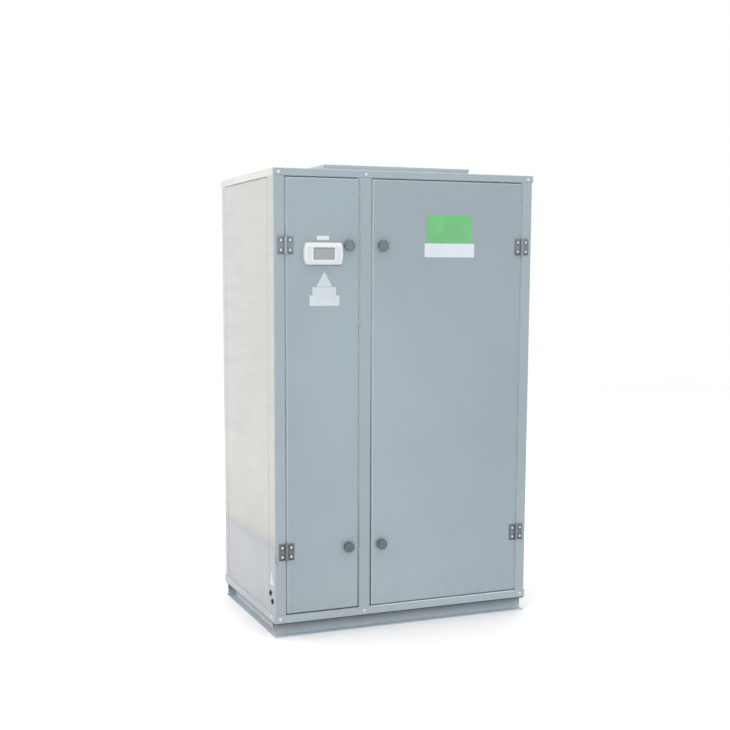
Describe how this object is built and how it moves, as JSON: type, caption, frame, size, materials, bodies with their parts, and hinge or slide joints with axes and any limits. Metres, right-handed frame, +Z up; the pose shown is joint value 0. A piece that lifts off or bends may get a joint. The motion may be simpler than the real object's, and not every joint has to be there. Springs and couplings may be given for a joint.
{
  "type": "computer room air conditioner",
  "caption": "Tall free-standing air conditioning cabinet on a channel plinth, with unequal hinged front doors, turning latches, a display and a roof duct collar.",
  "frame": {"origin": "on the floor under the middle of the cabinet", "axes": "+X along the front to the right, +Y from the front to the back, +Z up"},
  "size_m": [1.2, 0.7713, 1.978],
  "materials": {
    "cabinet_paint": "satin grey-blue powder coat",
    "door_paint": "satin grey-blue powder coat",
    "plinth_paint": "satin grey-blue paint",
    "inner_board": "matt insulation board",
    "seal_rubber": "matt",
    "hinge_zinc": "dull grey zinc casting",
    "steel": "zinc plated",
    "knob_plastic": "fine grained",
    "display_plastic": "smooth white",
    "screen": "smooth grey-green",
    "keypad": "smooth pale grey",
    "grommet_rubber": "matt black"
  },
  "bodies": {
    "cabinet": {"long_base_channels": "plinth_paint", "short_base_channels": "plinth_paint", "top_front_rail": "cabinet_paint", "top_rear_rail": "cabinet_paint", "top_side_rails": "cabinet_paint", "bottom_front_rail": "cabinet_paint", "bottom_rear_rail": "cabinet_paint", "bottom_side_rails": "cabinet_paint", "front_left_post": "cabinet_paint", "front_right_post": "cabinet_paint", "centre_post": "cabinet_paint", "rear_posts": "cabinet_paint", "left_side_panel": "cabinet_paint", "right_side_panel": "cabinet_paint", "rear_panels": "cabinet_paint", "side_linings": "inner_board", "rear_linings": "inner_board", "roof_panel": "cabinet_paint", "roof_collar": "cabinet_paint", "floor_panel": "cabinet_paint", "cable_grommets": "grommet_rubber", "left_hinge_frame_leaves": "hinge_zinc", "left_hinge_pins": "steel", "right_hinge_frame_leaves": "hinge_zinc", "right_hinge_pins": "steel"},
    "left_door": {"left_door_skin": "door_paint", "left_door_lining": "inner_board", "left_door_seal": "seal_rubber", "left_hinge_door_leaves": "hinge_zinc", "display_housing": "display_plastic", "display_screen": "screen", "display_keypads": "keypad"},
    "right_door": {"right_door_skin": "door_paint", "right_door_lining": "inner_board", "right_door_seal": "seal_rubber", "right_hinge_door_leaves": "hinge_zinc"},
    "left_lower_latch": {"left_lower_knob": "knob_plastic", "left_lower_cam": "steel"},
    "left_upper_latch": {"left_upper_knob": "knob_plastic", "left_upper_cam": "steel"},
    "right_lower_latch": {"right_lower_knob": "knob_plastic", "right_lower_cam": "steel"},
    "right_upper_latch": {"right_upper_knob": "knob_plastic", "right_upper_cam": "steel"}
  },
  "joints": [
    {"name": "left_door_hinge", "type": "hinge", "parent": "cabinet", "child": "left_door", "pos_m": [-0.5475, -0.3818, 1.009], "axis": [0, 0, -1], "range_deg": [0, 120]},
    {"name": "right_door_hinge", "type": "hinge", "parent": "cabinet", "child": "right_door", "pos_m": [0.5475, -0.3818, 1.009], "axis": [0, 0, 1], "range_deg": [0, 120]},
    {"name": "left_lower_latch_turn", "type": "hinge", "parent": "left_door", "child": "left_lower_latch", "pos_m": [-0.2685, -0.375, 0.37], "axis": [0, -1, 0], "range_deg": [0, 90]},
    {"name": "left_upper_latch_turn", "type": "hinge", "parent": "left_door", "child": "left_upper_latch", "pos_m": [-0.2685, -0.375, 1.642], "axis": [0, -1, 0], "range_deg": [0, 90]},
    {"name": "right_lower_latch_turn", "type": "hinge", "parent": "right_door", "child": "right_lower_latch", "pos_m": [-0.1165, -0.375, 0.37], "axis": [0, 1, 0], "range_deg": [0, 90]},
    {"name": "right_upper_latch_turn", "type": "hinge", "parent": "right_door", "child": "right_upper_latch", "pos_m": [-0.1165, -0.375, 1.642], "axis": [0, 1, 0], "range_deg": [0, 90]}
  ]
}
